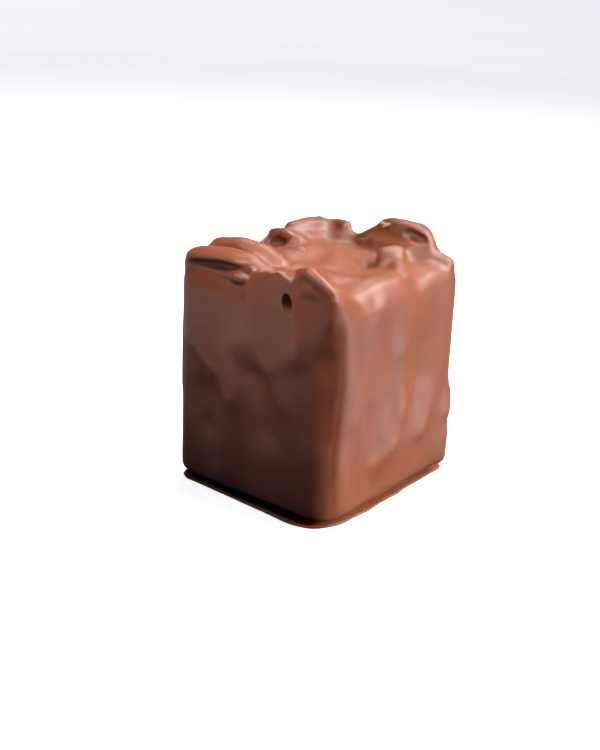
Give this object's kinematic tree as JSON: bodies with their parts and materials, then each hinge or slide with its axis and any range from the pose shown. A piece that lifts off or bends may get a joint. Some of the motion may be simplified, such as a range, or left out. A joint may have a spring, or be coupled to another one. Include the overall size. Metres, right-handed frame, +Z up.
{
  "type": "praline chocolate",
  "caption": "Tall enrobed praline: a milk-chocolate-coated block with almond sticks lying under the coat of its uneven top, on a thin poured foot.",
  "frame": {"origin": "on the surface the praline stands on, near the middle of its flat underside", "axes": "+Z up, along the praline's height; the front face with the air hole looks along -Y and the right face along +X"},
  "size_m": [0.0249, 0.0264, 0.0317],
  "materials": {
    "milk_chocolate": "satin milk chocolate coat"
  },
  "bodies": {
    "root": {"praline": "milk_chocolate"}
  },
  "joints": []
}
